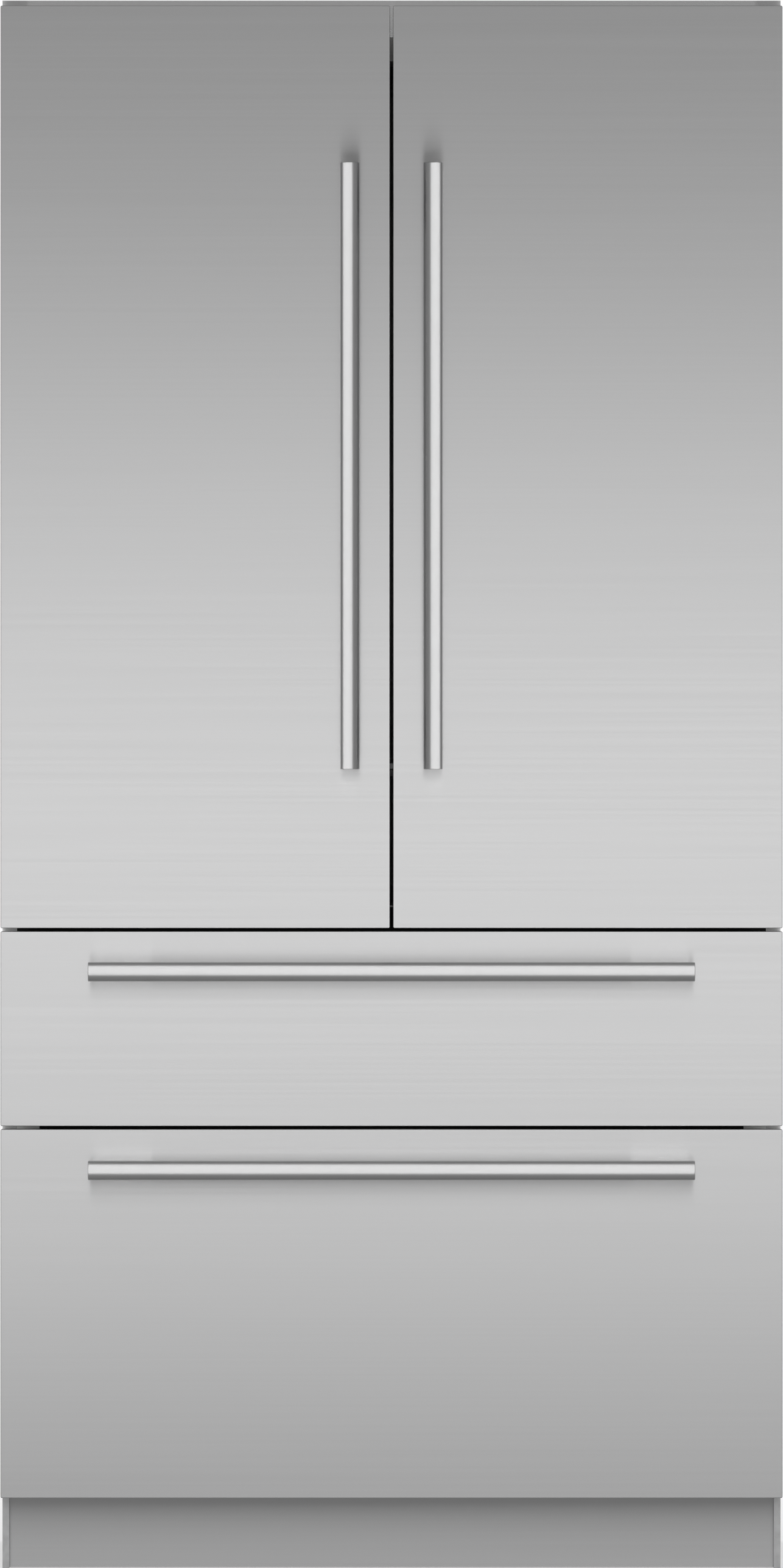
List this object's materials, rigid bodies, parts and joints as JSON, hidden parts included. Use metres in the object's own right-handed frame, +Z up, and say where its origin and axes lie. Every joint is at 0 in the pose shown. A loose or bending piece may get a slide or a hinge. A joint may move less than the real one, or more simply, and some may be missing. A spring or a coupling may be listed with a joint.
{
  "type": "built-in french door refrigerator",
  "caption": "Built-in stainless french door refrigerator with swinging upper doors, freezer drawers below, round bar handles and a recessed toe kick.",
  "frame": {"origin": "on the floor, at the middle of the width and of the whole depth with handles", "axes": "+X to the right seen from the front, +Y towards the wall behind, +Z up"},
  "size_m": [1.06, 0.695, 2.1368],
  "materials": {
    "stainless": "satin",
    "handle_steel": "satin",
    "zinc_steel": "satin",
    "case_paint": "satin",
    "black_paint": "satin",
    "foam": "matte",
    "liner_white": "satin",
    "clear_plastic": "gloss",
    "gasket_grey": "matte",
    "shelf_glass": "gloss",
    "light_lens": "satin",
    "dark_plastic": "satin",
    "grey_plastic": "satin",
    "fin_aluminium": "satin",
    "roller_rubber": "matte"
  },
  "bodies": {
    "cabinet": {"anti_tip_bracket": "zinc_steel", "back_panel": "case_paint", "base_frame": "zinc_steel", "compressor": "black_paint", "condenser_coil": "fin_aluminium", "condenser_fan_shroud": "dark_plastic", "control_panel": "dark_plastic", "crisper_frame": "liner_white", "door_hinges": "zinc_steel", "drawer_rail": "dark_plastic", "fixed_slides": "zinc_steel", "freezer_duct_panel": "liner_white", "freezer_evaporator": "fin_aluminium", "freezer_liner": "liner_white", "fridge_duct_panel": "liner_white", "fridge_liner": "liner_white", "front_legs": "zinc_steel", "glass_shelves": "shelf_glass", "insulation": "foam", "light_columns": "light_lens", "machine_cover": "case_paint", "mullion_rail": "dark_plastic", "outer_case": "case_paint", "power_inlet": "dark_plastic", "shelf_arms": "zinc_steel", "shelf_tracks": "zinc_steel", "side_trims": "stainless", "toe_kick": "stainless", "top_trim": "stainless"},
    "left_door": {"left_door_skin": "stainless", "left_door_liner": "liner_white", "left_door_gasket": "gasket_grey", "left_door_handle": "handle_steel", "left_door_bins": "clear_plastic"},
    "right_door": {"right_door_skin": "stainless", "right_door_liner": "liner_white", "right_door_gasket": "gasket_grey", "right_door_handle": "handle_steel", "right_door_bins": "clear_plastic"},
    "flap": {"mullion_flap": "grey_plastic"},
    "upper_drawer": {"upper_drawer_skin": "stainless", "upper_drawer_panel": "liner_white", "upper_drawer_gasket": "gasket_grey", "upper_drawer_handle": "handle_steel", "upper_drawer_tub": "liner_white", "upper_drawer_slides": "zinc_steel"},
    "lower_drawer": {"lower_drawer_skin": "stainless", "lower_drawer_panel": "liner_white", "lower_drawer_gasket": "gasket_grey", "lower_drawer_handle": "handle_steel", "lower_drawer_tub": "liner_white", "lower_drawer_slides": "zinc_steel"},
    "upper_middle": {"upper_middle_slides": "zinc_steel"},
    "lower_middle": {"lower_middle_slides": "zinc_steel"},
    "left_crisper": {"crisper_left": "clear_plastic"},
    "right_crisper": {"crisper_right": "clear_plastic"},
    "condenser_rotor": {"condenser_fan": "dark_plastic"},
    "freezer_rotor": {"freezer_fan": "dark_plastic"},
    "rollers": {"rear_rollers": "roller_rubber"}
  },
  "joints": [
    {"name": "left_door_hinge", "type": "hinge", "parent": "cabinet", "child": "left_door", "pos_m": [-0.512, -0.2555, 1.4993], "axis": [0, 0, -1], "range_deg": [0, 110]},
    {"name": "right_door_hinge", "type": "hinge", "parent": "cabinet", "child": "right_door", "pos_m": [0.512, -0.2555, 1.4993], "axis": [0, 0, 1], "range_deg": [0, 110]},
    {"name": "flap_hinge", "type": "hinge", "parent": "left_door", "child": "flap", "pos_m": [-0.024, -0.2012, 1.4993], "axis": [0, 0, -1], "range_deg": [0, 90]},
    {"name": "upper_drawer_slide", "type": "slide", "parent": "cabinet", "child": "upper_drawer", "axis": [0, -1, 0], "range_m": [0, 0.4]},
    {"name": "upper_middle_slide", "type": "slide", "parent": "cabinet", "child": "upper_middle", "axis": [0, -1, 0], "range_m": [0, 0.2]},
    {"name": "lower_drawer_slide", "type": "slide", "parent": "cabinet", "child": "lower_drawer", "axis": [0, -1, 0], "range_m": [0, 0.4]},
    {"name": "lower_middle_slide", "type": "slide", "parent": "cabinet", "child": "lower_middle", "axis": [0, -1, 0], "range_m": [0, 0.2]},
    {"name": "left_crisper_slide", "type": "slide", "parent": "cabinet", "child": "left_crisper", "axis": [0, -1, 0], "range_m": [0, 0.06]},
    {"name": "right_crisper_slide", "type": "slide", "parent": "cabinet", "child": "right_crisper", "axis": [0, -1, 0], "range_m": [0, 0.06]},
    {"name": "condenser_fan_spin", "type": "hinge", "parent": "cabinet", "child": "condenser_rotor", "pos_m": [-0.06, 0.2325, 0.216], "axis": [1, 0, 0], "continuous": true},
    {"name": "freezer_fan_spin", "type": "hinge", "parent": "cabinet", "child": "freezer_rotor", "pos_m": [0, 0.227, 0.7131], "axis": [0, 1, 0], "continuous": true},
    {"name": "roller_spin", "type": "hinge", "parent": "cabinet", "child": "rollers", "pos_m": [0, 0.2875, 0.025], "axis": [1, 0, 0], "continuous": true}
  ],
  "couplings": [
    {"joint": "upper_middle_slide", "follows": "upper_drawer_slide", "ratio": 0.5},
    {"joint": "lower_middle_slide", "follows": "lower_drawer_slide", "ratio": 0.5}
  ]
}
